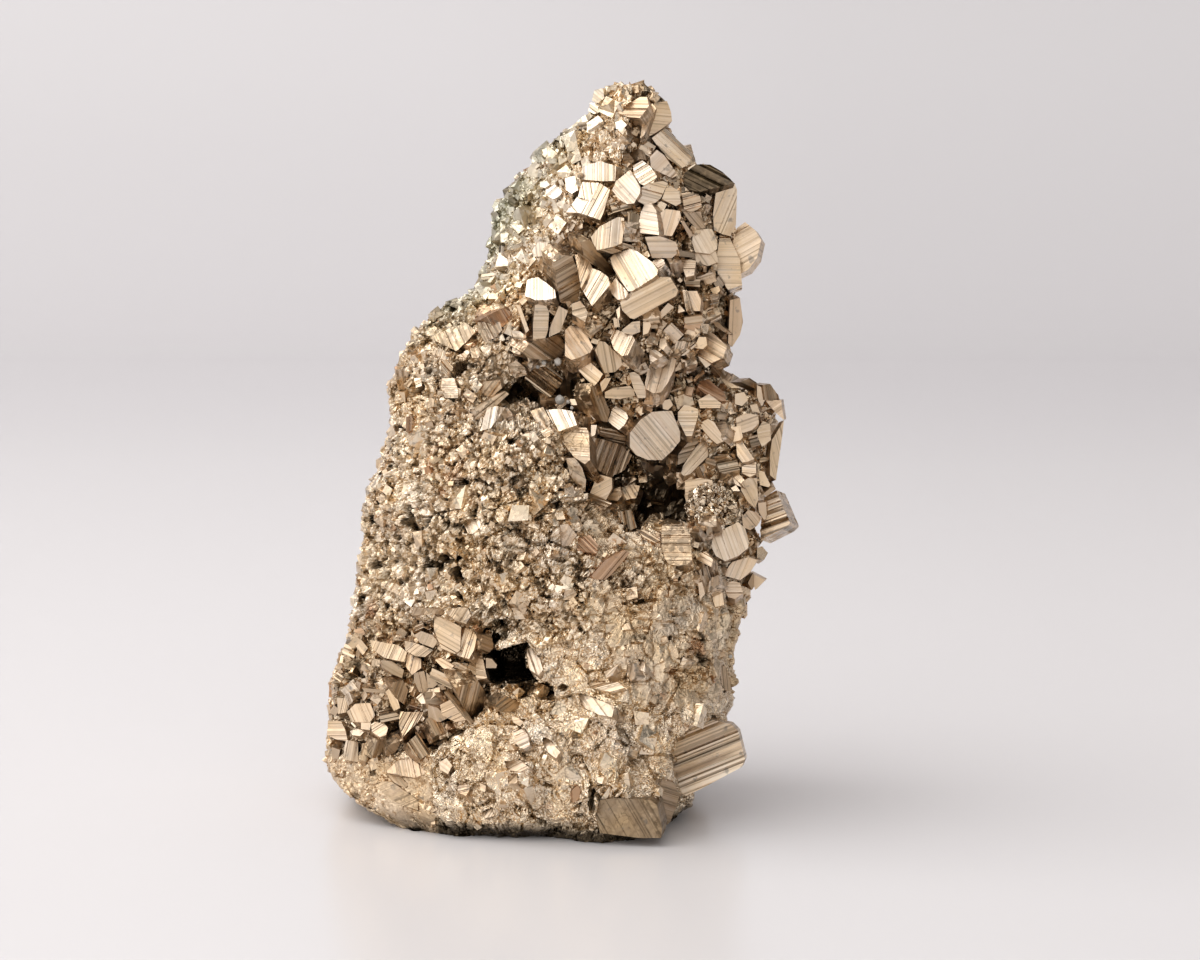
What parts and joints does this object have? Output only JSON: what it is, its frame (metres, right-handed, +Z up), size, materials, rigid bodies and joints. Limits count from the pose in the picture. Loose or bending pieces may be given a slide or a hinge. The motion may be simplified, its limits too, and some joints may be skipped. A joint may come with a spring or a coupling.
{
  "type": "pyrite specimen",
  "caption": "Free-standing cluster of intergrown pyrite: granular metallic body with striated cubic crystals and one open cavity low on the front.",
  "frame": {"origin": "on the surface it stands on, in the middle of the bounding box", "axes": "+Z up along its height, the front with the large crystals faces -Y, +X to the right seen from the front"},
  "size_m": [0.064, 0.053, 0.1],
  "materials": {
    "pyrite": "satin"
  },
  "bodies": {
    "root": {"pyrite_specimen": "pyrite"}
  },
  "joints": []
}
